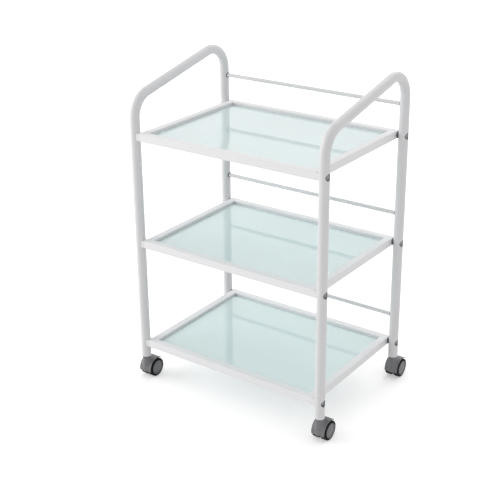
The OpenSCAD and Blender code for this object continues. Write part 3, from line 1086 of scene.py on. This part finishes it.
def shown_rays(tree):
    """1 for rays that show the background: camera, glossy and transmission rays."""
    path = tree.nodes.new("ShaderNodeLightPath")
    total = path.outputs["Is Camera Ray"]
    for kind in ("Is Glossy Ray", "Is Transmission Ray"):
        either = new_node(tree, "ShaderNodeMath", {"operation": "MAXIMUM"})
        tree.links.new(total, either.inputs[0])
        tree.links.new(path.outputs[kind], either.inputs[1])
        total = either.outputs[0]
    return total


def light_world(ambient):
    """An even studio: soft light on the object, plain white where the background shows."""
    world = bpy.data.worlds.new("studio")
    bpy.context.scene.world = world
    world.use_nodes = True
    tree = world.node_tree
    background = tree.nodes["Background"]
    background.inputs["Color"].default_value = (1, 1, 1, 1)
    strength = new_node(tree, "ShaderNodeMapRange", To_Min=ambient, To_Max=1.0)
    tree.links.new(shown_rays(tree), strength.inputs["Value"])
    tree.links.new(strength.outputs["Result"], background.inputs["Strength"])


def floor_material(lift):
    """A matte pale floor that keeps the object's shadow, lifted to white away from the object."""
    material = finish("studio floor", colours().floor, roughness=0.9, mottle=0.6, grain=0.01,
                      depth=0.00001, spread=0.004, gloss_spread=0.02, Specular_IOR_Level=0.0,
                      Emission_Color=(1, 1, 1, 1))
    tree = material.node_tree
    place = tree.nodes.new("ShaderNodeTexCoord")
    away = new_node(tree, "ShaderNodeVectorMath", {"operation": "LENGTH"})
    level = new_node(tree, "ShaderNodeMapRange", From_Min=2.0, From_Max=5.0, To_Min=lift, To_Max=1.0)
    strength = new_node(tree, "ShaderNodeMath", {"operation": "MULTIPLY"})
    tree.links.new(place.outputs["Object"], away.inputs["Vector"])
    tree.links.new(away.outputs["Value"], level.inputs["Value"])
    tree.links.new(level.outputs["Result"], strength.inputs[0])
    tree.links.new(shown_rays(tree), strength.inputs[1])
    tree.links.new(strength.outputs[0], tree.nodes["Principled BSDF"].inputs["Emission Strength"])
    return material


def add_lamp(name, place, aim, width, power):
    """A soft square lamp that faces a point."""
    lamp = bpy.data.lights.new(name, "AREA")
    lamp.size = width
    lamp.energy = power
    holder = placed(name, lamp)
    holder.location = place
    holder.rotation_euler = (Vector(aim) - Vector(place)).to_track_quat("-Z", "Y").to_euler()


def add_camera():
    """The photograph's camera, from its place and angles."""
    a, e = CAMERA_AZIMUTH, CAMERA_ELEVATION
    back = Vector((math.sin(a) * math.cos(e), -math.cos(a) * math.cos(e), math.sin(e)))
    right = Vector((math.cos(a), math.sin(a), 0))
    axes = Matrix((right, back.cross(right), back)).transposed().to_4x4()
    camera = bpy.data.cameras.new("camera")
    camera.lens = CAMERA_LENS
    camera.sensor_width = 36
    camera.shift_y = CAMERA_SHIFT
    holder = placed("camera", camera)
    holder.matrix_world = Matrix.Translation(CAMERA_PLACE) @ axes @ Matrix.Rotation(CAMERA_ROLL, 4, "Z")
    bpy.context.scene.camera = holder


class TROLLEY_OT_stage(Operator):
    """Set the floor, the soft studio light and the camera"""

    bl_idname = "trolley.stage"
    bl_label = "Stage"

    def execute(self, context):
        half = 6.0
        mesh = bpy.data.meshes.new("floor")
        corners = [(-half, -half, 0), (half, -half, 0), (half, half, 0), (-half, half, 0)]
        mesh.from_pydata(corners, [], [(0, 1, 2, 3)])
        mesh.materials.append(floor_material(lift=0.35))
        floor = placed("floor", mesh)
        light_world(ambient=0.76)
        aim = (0, 0, 0.4)
        add_lamp("key", (-4.78, -2.54, 1.85), aim, width=3.6, power=150)
        add_lamp("back", (-0.36, 4.15, 4.15), aim, width=3.6, power=70)
        add_camera()
        context.scene.view_settings.view_transform = "Standard"
        return {"FINISHED"}


class TROLLEY_PT_sidebar(Panel):
    """Lists the trolley's operators and sizes"""

    bl_label = "Salon Trolley"
    bl_idname = "TROLLEY_PT_sidebar"
    bl_space_type = "VIEW_3D"
    bl_region_type = "UI"
    bl_category = "Trolley"

    def draw(self, context):
        for operator in OPERATORS:
            self.layout.operator(operator.bl_idname)
        for group in (context.scene.trolley_sizes, context.scene.trolley_colours):
            column = self.layout.column(align=True)
            for name in group.__annotations__:
                column.prop(group, name)


OPERATORS = (
    TROLLEY_OT_side_tubes, TROLLEY_OT_shelf_rails, TROLLEY_OT_glass_panes, TROLLEY_OT_back_rods,
    TROLLEY_OT_bolt_fittings, TROLLEY_OT_caster_hoods, TROLLEY_OT_caster_stems, TROLLEY_OT_caster_wheels,
    TROLLEY_OT_inner_fittings, TROLLEY_OT_stage,
)
CLASSES = (TrolleySizes, TrolleyColours, *OPERATORS, TROLLEY_PT_sidebar)


def register():
    for item in CLASSES:
        bpy.utils.register_class(item)
    bpy.types.Scene.trolley_sizes = PointerProperty(type=TrolleySizes)
    bpy.types.Scene.trolley_colours = PointerProperty(type=TrolleyColours)


def unregister():
    del bpy.types.Scene.trolley_colours
    del bpy.types.Scene.trolley_sizes
    for item in reversed(CLASSES):
        bpy.utils.unregister_class(item)


def main():
    register()
    for operator in OPERATORS:
        group, action = operator.bl_idname.split(".")
        getattr(getattr(bpy.ops, group), action)()


if __name__ == "__main__":
    main()
